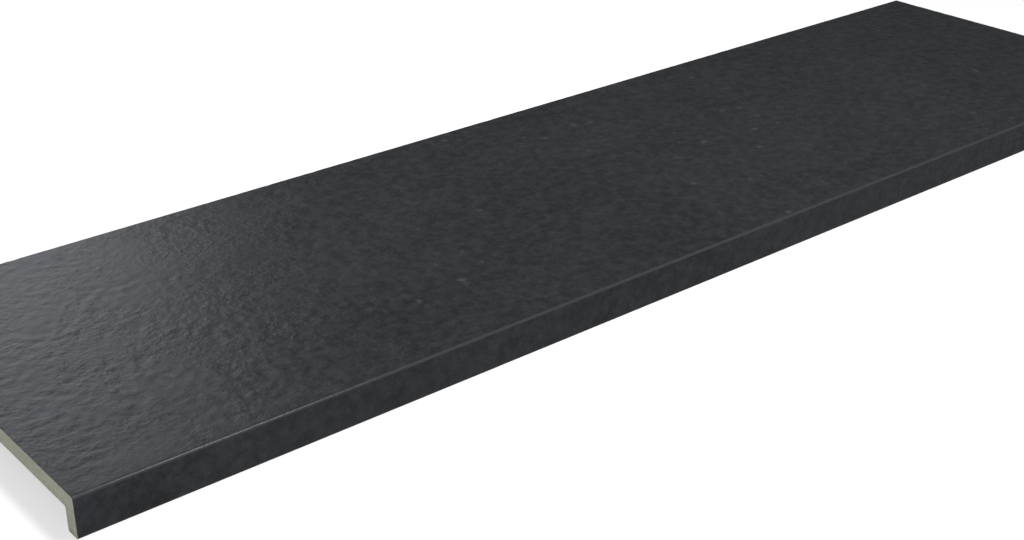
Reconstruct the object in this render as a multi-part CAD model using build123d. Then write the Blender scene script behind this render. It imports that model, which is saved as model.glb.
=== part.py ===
"""Stair tread tile: a porcelain tread with a turned-down nosing, fired as one piece.

+X runs along the nosing, +Y from the nosing to the back edge and +Z up.
The origin is under the middle of the tile, level with the foot of the nosing.
All sizes are in millimetres.
"""

import os

from build123d import *

# The tile
LENGTH = 1200.0
DEPTH = 330.0
PLATE_THICKNESS = 12.0

# The nosing, which hangs from the front of the plate
NOSING_HEIGHT = 30.0
NOSING_THICKNESS = 12.0

# Moulded edges
ARRIS_RADIUS = 2.0
ROOT_RADIUS = 1.0
FOOT_RADIUS = 1.0

# Ground bevel on the glazed side of the three cut edges
CUT_BEVEL = 0.5

# Keying grooves pressed into the underside, clear of its edges
GROOVE_PITCH = 20.0
GROOVE_WIDTH = 10.0
GROOVE_DEPTH = 0.8
GROOVE_FLANK_ANGLE = 45.0
GROOVE_MARGIN = 12.0

# Levels and lines of the section
FOOT = 0.0
TOP = FOOT + NOSING_HEIGHT
UNDERSIDE = TOP - PLATE_THICKNESS
FRONT = -DEPTH / 2
BACK = DEPTH / 2
NOSING_BACK = FRONT + NOSING_THICKNESS


def corner(section, y, z):
    """The corner of the section nearest to a point."""
    return section.vertices().sort_by_distance((y, z, 0))[0]


def tread_outline():
    """The L of plate and nosing, with its moulded edges, drawn with Y across and Z up."""
    outline = make_face(
        Polyline(
            (FRONT, FOOT),
            (FRONT, TOP),
            (BACK, TOP),
            (BACK, UNDERSIDE),
            (NOSING_BACK, UNDERSIDE),
            (NOSING_BACK, FOOT),
            close=True,
        )
    )
    outline = fillet(corner(outline, FRONT, TOP), ARRIS_RADIUS)
    outline = fillet(corner(outline, NOSING_BACK, UNDERSIDE), ROOT_RADIUS)
    outline = fillet(corner(outline, FRONT, FOOT), FOOT_RADIUS)
    outline = fillet(corner(outline, NOSING_BACK, FOOT), FOOT_RADIUS)
    return chamfer(corner(outline, BACK, TOP), CUT_BEVEL)


def keying_grooves():
    """The grooves of the underside, centred between the nosing's root and the back edge."""
    bed_front = NOSING_BACK + ROOT_RADIUS + GROOVE_MARGIN
    bed_back = BACK - GROOVE_MARGIN
    count = int((bed_back - bed_front - GROOVE_WIDTH) // GROOVE_PITCH) + 1
    bed = Pos(0, (bed_front + bed_back) / 2, UNDERSIDE)
    mouth = Rectangle(LENGTH - 2 * GROOVE_MARGIN, GROOVE_WIDTH)
    groove = extrude(mouth, amount=GROOVE_DEPTH, taper=GROOVE_FLANK_ANGLE)
    return bed * GridLocations(0, GROOVE_PITCH, 1, count) * groove


def glazed_end_edges(tread):
    """The edges of both cut ends along the walking face, the arris and the nosing's face."""
    walking_face = tread.faces().sort_by(Axis.Z)[-1]
    arris = tread.faces().filter_by(GeomType.CYLINDER).sort_by(Axis.Z)[-1]
    nosing_face = tread.faces().sort_by(Axis.Y)[0]
    outline = walking_face.edges() + arris.edges() + nosing_face.edges()
    return outline.filter_by(Axis.X, reverse=True)


def stair_tread():
    """The whole tile."""
    tread = extrude(Plane.YZ * tread_outline(), amount=LENGTH / 2, both=True)
    tread = chamfer(glazed_end_edges(tread), CUT_BEVEL)
    return tread - keying_grooves()


os.makedirs("parts", exist_ok=True)
export_step(stair_tread(), "parts/stair_tread.step")
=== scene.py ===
"""Stair tread tile: charcoal glazed porcelain with a turned-down nosing, on a pale studio floor."""

import math

import bmesh
import bpy
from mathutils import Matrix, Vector, noise


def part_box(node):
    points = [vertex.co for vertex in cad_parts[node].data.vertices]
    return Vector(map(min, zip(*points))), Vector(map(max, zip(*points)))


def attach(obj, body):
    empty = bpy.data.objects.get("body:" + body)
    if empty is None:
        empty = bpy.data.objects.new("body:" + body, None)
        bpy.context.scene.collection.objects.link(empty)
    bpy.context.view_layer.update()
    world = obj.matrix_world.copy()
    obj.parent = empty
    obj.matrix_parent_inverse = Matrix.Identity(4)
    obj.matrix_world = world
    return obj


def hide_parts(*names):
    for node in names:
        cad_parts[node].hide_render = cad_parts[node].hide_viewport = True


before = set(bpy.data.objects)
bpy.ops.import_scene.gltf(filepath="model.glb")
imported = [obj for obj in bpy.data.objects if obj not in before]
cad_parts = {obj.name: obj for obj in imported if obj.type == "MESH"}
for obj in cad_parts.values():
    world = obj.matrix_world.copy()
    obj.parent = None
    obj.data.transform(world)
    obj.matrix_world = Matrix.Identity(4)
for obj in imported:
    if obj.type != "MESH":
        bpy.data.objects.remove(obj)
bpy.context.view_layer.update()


# The tread
# One porcelain body with an L section: a walking plate and the nosing that turns down at its front.
# It is pressed with a split-stone relief on its face and keying grooves on its back, glazed charcoal,
# fired in one piece, and ground square at both ends and at the back edge.
MM = 0.001
low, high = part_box("stair_tread")
plate_thickness = 12 * MM
nosing_thickness = 12 * MM
arris_radius = 2 * MM
root_radius = 1 * MM
foot_radius = 1 * MM
cut_bevel = 0.5 * MM
groove_pitch = 20 * MM
groove_width = 10 * MM
groove_depth = 0.8 * MM
groove_margin = 12 * MM

length = high.x - low.x
underside = high.z - plate_thickness
nosing_middle = (low.z + underside) / 2
nosing_back = low.y + nosing_thickness
bed_front = nosing_back + root_radius + groove_margin
bed_back = high.y - groove_margin
groove_count = int((bed_back - bed_front - groove_width) // groove_pitch) + 1
first_groove = (bed_front + bed_back - (groove_count - 1) * groove_pitch) / 2

tread = bmesh.new()


def section_corner(y, z):
    """A corner of the section, at the near end of the tile."""
    return tread.verts.new((low.x, y, z))


front_foot = section_corner(low.y, low.z)
front_top = section_corner(low.y, high.z)
back_top = section_corner(high.y, high.z)
outline = [front_foot, front_top, back_top, section_corner(high.y, underside)]
for i in reversed(range(groove_count)):
    middle = first_groove + i * groove_pitch
    outline.append(section_corner(middle + groove_width / 2, underside))
    outline.append(section_corner(middle - groove_width / 2, underside))
root = section_corner(nosing_back, underside)
back_foot = section_corner(nosing_back, low.z)
tread.faces.new(outline + [root, back_foot])

for vert, radius, segments in (
    (front_top, arris_radius, 8),
    (root, root_radius, 4),
    (front_foot, foot_radius, 4),
    (back_foot, foot_radius, 4),
    (back_top, cut_bevel, 1),
):
    bmesh.ops.bevel(
        tread,
        geom=[vert],
        offset=radius,
        offset_type="OFFSET",
        segments=segments,
        profile=0.5,
        affect="VERTICES",
        material=-1,
    )

# The glazed lines of the section are cut into rows, to carry the relief.
row = 2.2 * MM
hair = 0.01 * MM
for edge in tread.edges[:]:
    on_top = all(abs(vert.co.z - high.z) < hair for vert in edge.verts)
    on_front = all(abs(vert.co.y - low.y) < hair for vert in edge.verts)
    if on_top or on_front:
        cuts = round(edge.calc_length() / row) - 1
        bmesh.ops.subdivide_edges(tread, edges=[edge], cuts=cuts)

# How much of a face's normal lies along an axis where the face counts as square to it, upward or forward
square = 0.9
upward = 0.1
forward = 0.3

# The section is drawn out to the far end, and both ends are ground with a small bevel along the glaze.
drawn_out = bmesh.ops.extrude_face_region(tread, geom=tread.faces[:], use_keep_orig=True)
far_end = [part for part in drawn_out["geom"] if isinstance(part, bmesh.types.BMVert)]
bmesh.ops.translate(tread, verts=far_end, vec=(length, 0, 0))
bmesh.ops.recalc_face_normals(tread, faces=tread.faces)
ends = [face for face in tread.faces if abs(face.normal.x) > square]
ground = []
for edge in (edge for end in ends for edge in end.edges):
    side = [face for face in edge.link_faces if face not in ends][0]
    on_nosing = side.normal.y < -square and side.calc_center_median().y < nosing_back
    if side.normal.z > upward or on_nosing:
        ground.append(edge)
bmesh.ops.bevel(
    tread,
    geom=ground,
    offset=cut_bevel,
    offset_type="OFFSET",
    segments=1,
    profile=0.5,
    affect="EDGES",
    material=-1,
)


def underside_faces():
    """The flat faces under the plate."""
    level_faces = [face for face in tread.faces if face.normal.z < -square]
    return [face for face in level_faces if face.calc_center_median().z > nosing_middle]


# The length is cut into columns, which make small quads of the rows. The flat underside needs none.
column = 2.4 * MM
bed = set(underside_faces())
lengthwise = [edge for edge in tread.edges if edge.calc_length() > length / 2]
lengthwise = [edge for edge in lengthwise if not bed.issuperset(edge.link_faces)]
bmesh.ops.subdivide_edges(tread, edges=lengthwise, cuts=round(length / column) - 1)

# The keying grooves are pressed up into the underside, clear of the ends.
for groove_end in (low.x + groove_margin, high.x - groove_margin):
    bed_parts = [part for face in underside_faces() for part in (face, *face.edges, *face.verts)]
    bed_parts = list(dict.fromkeys(bed_parts))
    bmesh.ops.bisect_plane(tread, geom=bed_parts, plane_co=(groove_end, 0, 0), plane_no=(1, 0, 0))
grooves = []
for face in underside_faces():
    middle = face.calc_center_median()
    turns = (middle.y - first_groove) / groove_pitch
    on_pitch = abs(turns - round(turns)) < 0.1
    counted = 0 <= round(turns) < groove_count
    off_ends = abs(middle.x) < length / 4
    if on_pitch and counted and off_ends:
        grooves.append(face)
bmesh.ops.inset_individual(tread, faces=grooves, thickness=groove_depth, depth=-groove_depth)

# The bevels and the groove cuts leave a few vertices on top of others, which are merged.
bmesh.ops.remove_doubles(tread, verts=tread.verts, dist=hair)
tread.normal_update()

# The cut and hidden faces show the raw body, and the rest is glazed.
GLAZE, BODY = 0, 1
for face in tread.faces:
    on_nosing = face.normal.y < -forward and face.calc_center_median().y < low.y + foot_radius
    face.material_index = GLAZE if face.normal.z > upward or on_nosing else BODY
    face.smooth = True
crease = math.radians(30)
for edge in tread.edges:
    edge.smooth = edge.calc_face_angle(0) < crease

# The relief is pressed into the glazed side only, square to the plate and the nosing. Rounded lumps and
# split ridges make it up, stronger in some patches than in others. Its level rises gently to full height
# at every edge, where only hollows are left, and it dies out at the arris, which is rubbed smooth.
relief_depth = 1.0 * MM
nosing_relief_depth = 0.5 * MM
lump_size = 7 * MM
lump_share = 0.35
lump_falloff = 1.0
lump_step = 2.0
lump_octaves = 1.5
ridge_size = 11 * MM
ridge_share = 0.2
ridge_sharpness = 3
patch_size = 45 * MM
patch_shift = Vector((0, 0, 140))
patch_mean = 0.7
patch_swing = 1.1
patch_least = 0.3
sunk_level = 0.45
deepest_hollow = 0.35
rise_margin = 30 * MM
smooth_margin = 4 * MM


def clamp(value, least, most):
    """The value, kept between two limits."""
    return min(max(value, least), most)


for vert in tread.verts:
    if any(face.material_index == BODY for face in vert.link_faces):
        continue
    lumps = noise.fractal(
        vert.co / lump_size, lump_falloff, lump_step, lump_octaves, noise_basis="PERLIN_ORIGINAL"
    )
    folds = abs(noise.noise(vert.co / ridge_size, noise_basis="PERLIN_ORIGINAL"))
    ridges = 1 - ridge_sharpness * folds
    patches = noise.noise(vert.co / patch_size + patch_shift, noise_basis="PERLIN_ORIGINAL")
    strength = clamp(patch_mean + patch_swing * patches, patch_least, 1)
    from_arris = max(vert.co.y - low.y, high.z - vert.co.z) - arris_radius
    from_edge = min(from_arris, length / 2 - abs(vert.co.x), high.y - vert.co.y)
    level = sunk_level * clamp(from_edge / rise_margin, 0, 1)
    fade = clamp(from_arris / smooth_margin, 0, 1)
    rise = (lump_share * lumps + ridge_share * ridges) * strength * fade
    depth = clamp(level - rise, 0, level + deepest_hollow)
    if high.z - vert.co.z < arris_radius:
        vert.co.z -= relief_depth * depth
    else:
        vert.co.y += nosing_relief_depth * depth


def linear(hex_colour):
    """An sRGB hex colour as linear red, green, blue and alpha."""
    levels = [int(hex_colour[i : i + 2], 16) / 255 for i in (1, 3, 5)]
    return [v / 12.92 if v <= 0.04045 else ((v + 0.055) / 1.055) ** 2.4 for v in levels] + [1.0]


def start_material(name):
    """A material with no nodes yet."""
    material = bpy.data.materials.new(name)
    material.use_nodes = True
    material.node_tree.nodes.clear()
    return material


def add_node(material, kind, inputs, **settings):
    """A node with its settings, and its inputs set to values or linked to other nodes' outputs."""
    node = material.node_tree.nodes.new("ShaderNode" + kind)
    for name, value in settings.items():
        setattr(node, name, value)
    for name, value in inputs.items():
        if isinstance(value, bpy.types.NodeSocket):
            material.node_tree.links.new(value, node.inputs[name])
        else:
            node.inputs[name].default_value = value
    return node


def place_on_tile(material):
    """The texture coordinates, and the place on the tile in millimetres, whole and by axis."""
    coordinates = add_node(material, "TexCoord", {})
    scaled = add_node(
        material,
        "VectorMath",
        {0: coordinates.outputs["Object"], 1: (1 / MM, 1 / MM, 1 / MM)},
        operation="MULTIPLY",
    )
    axes = add_node(material, "SeparateXYZ", {"Vector": scaled.outputs["Vector"]})
    return coordinates, scaled.outputs["Vector"], axes


# Matt basalt glaze: a charcoal glaze that is fused to the body and follows its relief.
# The eye gets a soft grey sheen towards the light, faint clouds, a few paler crystals in clusters, and a
# paler arris that is partly a painted highlight.
glaze = start_material("matt_basalt_glaze")
coordinates, millimetres, axes = place_on_tile(glaze)

# Clouds, a little longer along the tile than across it
cloud_size = 70 * MM
cloud_stretch = (0.6, 1, 1)
drawn_clouds = add_node(glaze, "VectorMath", {0: millimetres, 1: cloud_stretch}, operation="MULTIPLY")
clouds = add_node(
    glaze,
    "TexNoise",
    {"Vector": drawn_clouds.outputs["Vector"], "Scale": MM / cloud_size, "Detail": 4, "Roughness": 0.6},
)
cloud_share = add_node(glaze, "MapRange", {"Value": clouds.outputs["Fac"], "From Min": 0.3, "From Max": 0.7})
charcoal = add_node(
    glaze,
    "Mix",
    {0: cloud_share.outputs["Result"], 6: linear("#1E1F20"), 7: linear("#252628")},
    data_type="RGBA",
)

# Grain of the stone, drawn from 9 mm down to 1 mm because a real one of 1 mm alone wouldn't show
grain_size = 9 * MM
grain = add_node(
    glaze,
    "TexNoise",
    {"Vector": millimetres, "Scale": MM / grain_size, "Detail": 3, "Roughness": 0.85},
)
grain_share = add_node(
    glaze,
    "MapRange",
    {"Value": grain.outputs["Fac"], "From Min": 0.37, "From Max": 0.69, "To Min": 0.0, "To Max": 0.28},
)
grained = add_node(
    glaze,
    "Mix",
    {0: grain_share.outputs["Result"], 6: charcoal.outputs[2], 7: linear("#45474A")},
    data_type="RGBA",
)

# Pale crystals with ragged edges, about 5 mm across and fewer than one to each spacing, in clusters
crystal_spacing = 15 * MM
cluster_size = 55 * MM
ragged_size = 3 * MM
ragged_reach = (4, 4, 4)
ragged = add_node(glaze, "TexNoise", {"Vector": millimetres, "Scale": MM / ragged_size, "Detail": 1})
ragged_place = add_node(
    glaze,
    "VectorMath",
    {0: ragged.outputs["Color"], 1: ragged_reach, 2: millimetres},
    operation="MULTIPLY_ADD",
)
crystals = add_node(
    glaze,
    "TexVoronoi",
    {"Vector": ragged_place.outputs["Vector"], "Scale": MM / crystal_spacing, "Randomness": 1.0},
)
crystal_spot = add_node(
    glaze,
    "MapRange",
    {"Value": crystals.outputs["Distance"], "From Min": 0.3, "From Max": 0.03},
    interpolation_type="SMOOTHSTEP",
)
crystal_draw = add_node(glaze, "SeparateColor", {"Color": crystals.outputs["Color"]})
crystal_pick = add_node(
    glaze, "MapRange", {"Value": crystal_draw.outputs["Red"], "From Min": 0.5, "From Max": 1.2}
)
clusters = add_node(glaze, "TexNoise", {"Vector": millimetres, "Scale": MM / cluster_size, "Detail": 1})
cluster_share = add_node(
    glaze, "MapRange", {"Value": clusters.outputs["Fac"], "From Min": 0.45, "From Max": 0.65}
)
picked_spot = add_node(
    glaze,
    "Math",
    {0: crystal_spot.outputs["Result"], 1: crystal_pick.outputs["Result"]},
    operation="MULTIPLY",
)
crystal_share = add_node(
    glaze,
    "Math",
    {0: picked_spot.outputs["Value"], 1: cluster_share.outputs["Result"]},
    operation="MULTIPLY",
)
crystalled = add_node(
    glaze,
    "Mix",
    {0: crystal_share.outputs["Value"], 6: grained.outputs[2], 7: linear("#47494C")},
    data_type="RGBA",
)

# The arris, where the glaze runs thin and comes out paler, with a painted highlight: the paler colour also
# stands in for the light that the rounded edge catches
towards_front = add_node(
    glaze,
    "MapRange",
    {
        "Value": axes.outputs["Y"],
        "From Min": (low.y + arris_radius) / MM,
        "From Max": low.y / MM,
    },
)
towards_top = add_node(
    glaze,
    "MapRange",
    {
        "Value": axes.outputs["Z"],
        "From Min": (high.z - arris_radius) / MM,
        "From Max": high.z / MM,
    },
)
arris_share = add_node(
    glaze,
    "Math",
    {0: towards_front.outputs["Result"], 1: towards_top.outputs["Result"]},
    operation="MULTIPLY",
)
arris_band = add_node(
    glaze,
    "MapRange",
    {"Value": arris_share.outputs["Value"], "From Min": 0.0, "From Max": 0.4},
)
# Painted highlight along the arris, laid over the real paleness of its thin glaze
pale_arris_and_highlight = add_node(
    glaze,
    "Mix",
    {0: arris_band.outputs["Result"], 6: crystalled.outputs[2], 7: linear("#393B3D")},
    data_type="RGBA",
)

# The ground bevels, which cut through the glaze and show the body on their lower half
glaze_depth = 0.25 * MM
cut_softness = 0.05 * MM
from_middle = add_node(glaze, "Math", {0: axes.outputs["X"]}, operation="ABSOLUTE")
bared = []
for distance, edge_place in ((from_middle.outputs["Value"], high.x), (axes.outputs["Y"], high.y)):
    glaze_end = edge_place - cut_bevel + glaze_depth
    cut = add_node(
        glaze,
        "MapRange",
        {
            "Value": distance,
            "From Min": (glaze_end - cut_softness) / MM,
            "From Max": (glaze_end + cut_softness) / MM,
        },
    )
    bared.append(cut.outputs["Result"])
cut_share = add_node(glaze, "Math", {0: bared[0], 1: bared[1]}, operation="MAXIMUM")
glaze_colour = add_node(
    glaze,
    "Mix",
    {0: cut_share.outputs["Value"], 6: pale_arris_and_highlight.outputs[2], 7: linear("#86887C")},
    data_type="RGBA",
)

# Chips of the split face, finer than the mesh carries, in patches, and the grain. The arris is smooth.
chip_size = 4 * MM
chip_depth = 0.5 * MM
grain_depth = 0.03 * MM
chips = add_node(
    glaze,
    "TexNoise",
    {"Vector": millimetres, "Scale": MM / chip_size, "Detail": 2, "Roughness": 0.5},
)
chip_patches = add_node(glaze, "TexNoise", {"Vector": millimetres, "Scale": MM / patch_size, "Detail": 1})
patch_strength = add_node(
    glaze,
    "MapRange",
    {"Value": chip_patches.outputs["Fac"], "From Min": 0.35, "From Max": 0.65, "To Min": 0.5, "To Max": 1.2},
)
off_arris = add_node(
    glaze,
    "MapRange",
    {"Value": arris_band.outputs["Result"], "To Min": 1.0, "To Max": 0.1},
)
chip_strength = add_node(
    glaze,
    "Math",
    {0: patch_strength.outputs["Result"], 1: off_arris.outputs["Result"]},
    operation="MULTIPLY",
)
chip_bump = add_node(
    glaze,
    "Bump",
    {"Height": chips.outputs["Fac"], "Strength": chip_strength.outputs["Value"], "Distance": chip_depth},
)
grain_bump = add_node(
    glaze,
    "Bump",
    {
        "Height": grain.outputs["Fac"],
        "Strength": 1.0,
        "Distance": grain_depth,
        "Normal": chip_bump.outputs["Normal"],
    },
)

# The walking face has a satin sheen, the nosing is duller, and the arris is the glossiest.
nosing_roughness = 0.65
arris_roughness = 0.16
face_roughness = add_node(
    glaze,
    "MapRange",
    {"Value": grain.outputs["Fac"], "From Min": 0.3, "From Max": 0.7, "To Min": 0.32, "To Max": 0.42},
)
duller_nosing = add_node(
    glaze,
    "Mix",
    {0: towards_front.outputs["Result"], 2: face_roughness.outputs["Result"], 3: nosing_roughness},
)
glossier_arris = add_node(
    glaze,
    "Mix",
    {0: arris_band.outputs["Result"], 2: duller_nosing.outputs[0], 3: arris_roughness},
)
glaze_surface = add_node(
    glaze,
    "BsdfPrincipled",
    {
        "Base Color": glaze_colour.outputs[2],
        "Roughness": glossier_arris.outputs[0],
        "IOR": 1.5,
        "Specular IOR Level": 0.08,
        "Normal": grain_bump.outputs["Normal"],
    },
)
add_node(glaze, "OutputMaterial", {"Surface": glaze_surface.outputs["BSDF"]})

# Raw porcelain: the grey-green vitrified body, bare where the tile is cut and on its back.
# The eye gets a dull stone colour with fine darker grains, faint lines along the sawn edges, and a pale
# kiln wash that is rubbed over the ribs of the back.
body = start_material("raw_porcelain")
coordinates, millimetres, axes = place_on_tile(body)

# Grains, drawn at 2.5 mm and finer because real ones of 0.5 mm wouldn't show
body_grain_size = 2.5 * MM
body_grain_depth = 0.05 * MM
body_grain = add_node(
    body,
    "TexNoise",
    {"Vector": millimetres, "Scale": MM / body_grain_size, "Detail": 3, "Roughness": 0.7},
)
body_share = add_node(
    body, "MapRange", {"Value": body_grain.outputs["Fac"], "From Min": 0.3, "From Max": 0.7}
)
body_colour = add_node(
    body,
    "Mix",
    {0: body_share.outputs["Result"], 6: linear("#7E8070"), 7: linear("#9D9F8E")},
    data_type="RGBA",
)
body_bump = add_node(
    body, "Bump", {"Height": body_grain.outputs["Fac"], "Strength": 1.0, "Distance": body_grain_depth}
)

# Saw lines, drawn 1.2 mm apart because real ones of 0.2 mm wouldn't show. They run level along each edge.
saw_length = 60 * MM
saw_spacing = 1.2 * MM
saw_stretch = (MM / saw_length, MM / saw_length, MM / saw_spacing)
saw_drawn = add_node(body, "VectorMath", {0: millimetres, 1: saw_stretch}, operation="MULTIPLY")
saw_lines = add_node(body, "TexNoise", {"Vector": saw_drawn.outputs["Vector"], "Scale": 1.0, "Detail": 1})
saw_share = add_node(
    body,
    "MapRange",
    {"Value": saw_lines.outputs["Fac"], "From Min": 0.4, "From Max": 0.7, "To Min": 0.0, "To Max": 0.45},
)
sawn = add_node(
    body,
    "Mix",
    {0: saw_share.outputs["Result"], 6: body_colour.outputs[2], 7: linear("#73756A")},
    data_type="RGBA",
)

# Kiln wash, only on the ribs, smeared along the tile by the rollers of the kiln
wash_length = 80 * MM
wash_width = 14 * MM
wash_stretch = (MM / wash_length, MM / wash_width, MM / wash_width)
rib_reach = 0.2 * MM
wash_drawn = add_node(body, "VectorMath", {0: millimetres, 1: wash_stretch}, operation="MULTIPLY")
wash_smears = add_node(
    body, "TexNoise", {"Vector": wash_drawn.outputs["Vector"], "Scale": 1.0, "Detail": 4, "Roughness": 0.65}
)
wash_rubbed = add_node(
    body,
    "MapRange",
    {"Value": wash_smears.outputs["Fac"], "From Min": 0.42, "From Max": 0.66, "To Min": 0.0, "To Max": 0.5},
)
at_underside = add_node(
    body, "Math", {0: axes.outputs["Z"], 1: underside / MM, 2: rib_reach / MM}, operation="COMPARE"
)
downwards = add_node(
    body, "VectorMath", {0: coordinates.outputs["Normal"], 1: (0, 0, -1)}, operation="DOT_PRODUCT"
)
facing_down = add_node(body, "Math", {0: downwards.outputs["Value"], 1: square}, operation="GREATER_THAN")
on_ribs = add_node(
    body,
    "Math",
    {0: at_underside.outputs["Value"], 1: facing_down.outputs["Value"]},
    operation="MULTIPLY",
)
wash_share = add_node(
    body,
    "Math",
    {0: wash_rubbed.outputs["Result"], 1: on_ribs.outputs["Value"]},
    operation="MULTIPLY",
)
washed = add_node(
    body,
    "Mix",
    {0: wash_share.outputs["Value"], 6: sawn.outputs[2], 7: linear("#C0C1B8")},
    data_type="RGBA",
)
body_surface = add_node(
    body,
    "BsdfPrincipled",
    {
        "Base Color": washed.outputs[2],
        "Roughness": 0.75,
        "IOR": 1.5,
        "Specular IOR Level": 0.3,
        "Normal": body_bump.outputs["Normal"],
    },
)
add_node(body, "OutputMaterial", {"Surface": body_surface.outputs["BSDF"]})

mesh = bpy.data.meshes.new("tread_tile")
tread.to_mesh(mesh)
tread.free()
mesh.materials.append(glaze)
mesh.materials.append(body)
tile = bpy.data.objects.new("tread_tile", mesh)
bpy.context.scene.collection.objects.link(tile)
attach(tile, "root")
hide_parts("stair_tread")


# The floor
# A wide matt white studio floor under the tile. For every ray that shows it, half of its white is its own
# glow near the tile, where it takes the tile's shadow, and all of it is further out, where the light ends.
floor_size = 30.0
shadow_reach = 0.7
white_from = 1.2
floor_mesh = bpy.data.meshes.new("studio_floor")
floor_form = bmesh.new()
bmesh.ops.create_grid(floor_form, x_segments=1, y_segments=1, size=floor_size / 2)
floor_form.to_mesh(floor_mesh)
floor_form.free()
paint = start_material("matt_white_paint")
paint_surface = add_node(paint, "BsdfDiffuse", {"Color": linear("#FAFAFA")})
paint_glow = add_node(paint, "Emission", {"Color": linear("#FFFFFF"), "Strength": 1.0})
ray = add_node(paint, "LightPath", {})
seen = add_node(
    paint,
    "Math",
    {0: ray.outputs["Is Camera Ray"], 1: ray.outputs["Is Glossy Ray"]},
    operation="MAXIMUM",
)
seen_or_through = add_node(
    paint,
    "Math",
    {0: seen.outputs["Value"], 1: ray.outputs["Is Transmission Ray"]},
    operation="MAXIMUM",
)
paint_place = add_node(paint, "TexCoord", {})
from_tile = add_node(paint, "VectorMath", {0: paint_place.outputs["Object"]}, operation="LENGTH")
glow = add_node(
    paint,
    "MapRange",
    {
        "Value": from_tile.outputs["Value"],
        "From Min": shadow_reach,
        "From Max": white_from,
        "To Min": 0.5,
        "To Max": 1.0,
    },
)
glow_share = add_node(
    paint,
    "Math",
    {0: seen_or_through.outputs["Value"], 1: glow.outputs["Result"]},
    operation="MULTIPLY",
)
paint_mix = add_node(
    paint,
    "MixShader",
    {0: glow_share.outputs["Value"], 1: paint_surface.outputs["BSDF"], 2: paint_glow.outputs["Emission"]},
)
add_node(paint, "OutputMaterial", {"Surface": paint_mix.outputs["Shader"]})
floor_mesh.materials.append(paint)
floor = bpy.data.objects.new("studio_floor", floor_mesh)
bpy.context.scene.collection.objects.link(floor)
floor.location.z = low.z


# The light and the camera
# A soft light overhead, a dim room, a softbox behind the near end that puts the sheen on the walking
# face, and a small fill in front of the near end. The camera stands at the photograph's place.
room_light = 0.135
world = bpy.data.worlds.new("studio_room")
bpy.context.scene.world = world
world.use_nodes = True
world.node_tree.nodes["Background"].inputs["Color"].default_value = linear("#FFFFFF")
world.node_tree.nodes["Background"].inputs["Strength"].default_value = room_light


def add_panel(name, width, height, watts, colour, location, target):
    """A flat studio light that the camera doesn't see."""
    panel_data = bpy.data.lights.new(name, "AREA")
    panel_data.shape = "RECTANGLE"
    panel_data.size = width
    panel_data.size_y = height
    panel_data.energy = watts
    panel_data.color = linear(colour)[:3]
    panel = bpy.data.objects.new(name, panel_data)
    panel.location = location
    panel.rotation_euler = (Vector(target) - Vector(location)).to_track_quat("-Z", "Y").to_euler()
    panel.visible_camera = False
    bpy.context.scene.collection.objects.link(panel)


add_panel(
    "overhead",
    width=0.4,
    height=1.0,
    watts=30,
    colour="#FFFFFF",
    location=(0.16, -0.56, 1.55),
    target=(0, -0.1, 0),
)
add_panel(
    "softbox",
    width=2.1,
    height=1.2,
    watts=28,
    colour="#F8F9FF",
    location=(-0.6, 1.65, 0.85),
    target=(-0.4, 0, 0),
)
add_panel(
    "near_fill",
    width=0.4,
    height=0.4,
    watts=5.5,
    colour="#FFFFFF",
    location=(-1.15, -0.95, 0.55),
    target=(-0.55, -0.16, 0),
)

camera_dip = 26.166
camera_turn = -39.837
camera_data = bpy.data.cameras.new("camera")
camera_data.sensor_width = 36
camera_data.lens = 55.869
camera = bpy.data.objects.new("camera", camera_data)
camera.location = (-0.9027, -0.9348, 0.5663)
camera.rotation_euler = (math.radians(90 - camera_dip), 0, math.radians(camera_turn))
bpy.context.scene.collection.objects.link(camera)
bpy.context.scene.camera = camera
bpy.context.scene.view_settings.view_transform = "Standard"
